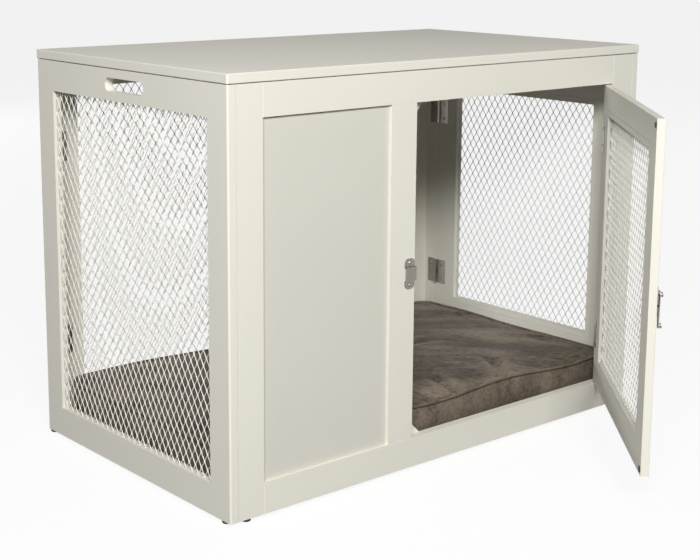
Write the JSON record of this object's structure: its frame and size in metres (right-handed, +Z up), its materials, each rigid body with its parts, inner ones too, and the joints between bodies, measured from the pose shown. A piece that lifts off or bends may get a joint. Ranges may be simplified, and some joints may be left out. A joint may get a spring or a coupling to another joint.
{
  "type": "pet crate",
  "caption": "Furniture-style pet crate: framed mesh sides, recessed front board, hinged mesh door with a lever latch, lift-off lid, floor board and box cushion.",
  "frame": {"origin": "on the floor, at the centre of the cabinet's footprint, without the open door", "axes": "+X to the right along the front, +Y from the front to the back, +Z up"},
  "size_m": [0.917, 0.8984, 0.671],
  "materials": {
    "painted_board": "satin paint",
    "mesh_metal": "off-white paint",
    "nickel": "satin nickel plate",
    "rubber": "matt",
    "suede": "crushed suede"
  },
  "bodies": {
    "carcass": {"back_left_stile": "painted_board", "back_right_stile": "painted_board", "back_top_rail": "painted_board", "back_bottom_rail": "painted_board", "back_mesh": "mesh_metal", "back_beads": "painted_board", "left_front_stile": "painted_board", "left_rear_stile": "painted_board", "left_top_rail": "painted_board", "left_bottom_rail": "painted_board", "left_mesh": "mesh_metal", "left_beads": "painted_board", "right_front_stile": "painted_board", "right_rear_stile": "painted_board", "right_top_rail": "painted_board", "right_bottom_rail": "painted_board", "right_mesh": "mesh_metal", "right_beads": "painted_board", "return_strip": "painted_board", "front_left_stile": "painted_board", "front_mid_stile": "painted_board", "front_right_stile": "painted_board", "front_top_rail": "painted_board", "front_bottom_rail": "painted_board", "infill_board": "painted_board", "corner_brackets": "nickel", "bracket_screws": "nickel", "fold_hinge_back_leaves": "nickel", "fold_hinge_side_leaves": "nickel", "fold_hinge_pins": "nickel", "fold_hinge_screws": "nickel", "door_hinge_frame_leaves": "nickel", "door_hinge_pins": "nickel", "door_hinge_frame_screws": "nickel", "keeper": "nickel", "keeper_screws": "nickel", "door_stops": "painted_board", "door_stop_screws": "nickel", "glides": "rubber", "floor_battens": "painted_board", "floor_board": "painted_board"},
    "door": {"door_hinge_stile": "painted_board", "door_latch_stile": "painted_board", "door_top_rail": "painted_board", "door_bottom_rail": "painted_board", "door_mesh": "mesh_metal", "door_beads": "painted_board", "door_hinge_door_leaves": "nickel", "door_hinge_door_screws": "nickel", "door_pads": "rubber", "latch_case": "nickel", "latch_screws": "nickel"},
    "tongue": {"latch_tongue": "nickel"},
    "lever": {"latch_crank": "nickel", "latch_lever": "nickel"},
    "lid": {"lid": "painted_board", "lid_blocks": "painted_board", "lid_bumpers": "rubber"},
    "cushion": {"cushion": "suede"}
  },
  "joints": [
    {"name": "door_hinge", "type": "hinge", "parent": "carcass", "child": "door", "pos_m": [0.3873, -0.2732, 0.33], "axis": [0, 0, 1], "range_deg": [-48, 132]},
    {"name": "latch_lever", "type": "hinge", "parent": "door", "child": "lever", "pos_m": [0.0809, -0.61469, 0.337], "axis": [-0.7431, 0.6691, 0], "range_deg": [0, 90]},
    {"name": "latch_tongue", "type": "slide", "parent": "door", "child": "tongue", "axis": [-0.6691, -0.7431, 0], "range_m": [0, 0.01]},
    {"name": "lid_lift", "type": "slide", "parent": "carcass", "child": "lid", "axis": [0, 0, 1], "range_m": [0, 0.15]},
    {"name": "cushion_lift", "type": "slide", "parent": "carcass", "child": "cushion", "axis": [0, 0, 1], "range_m": [0, 0.3]}
  ],
  "couplings": [
    {"joint": "latch_tongue", "follows": "latch_lever", "m_per_rad": 0.006366}
  ]
}
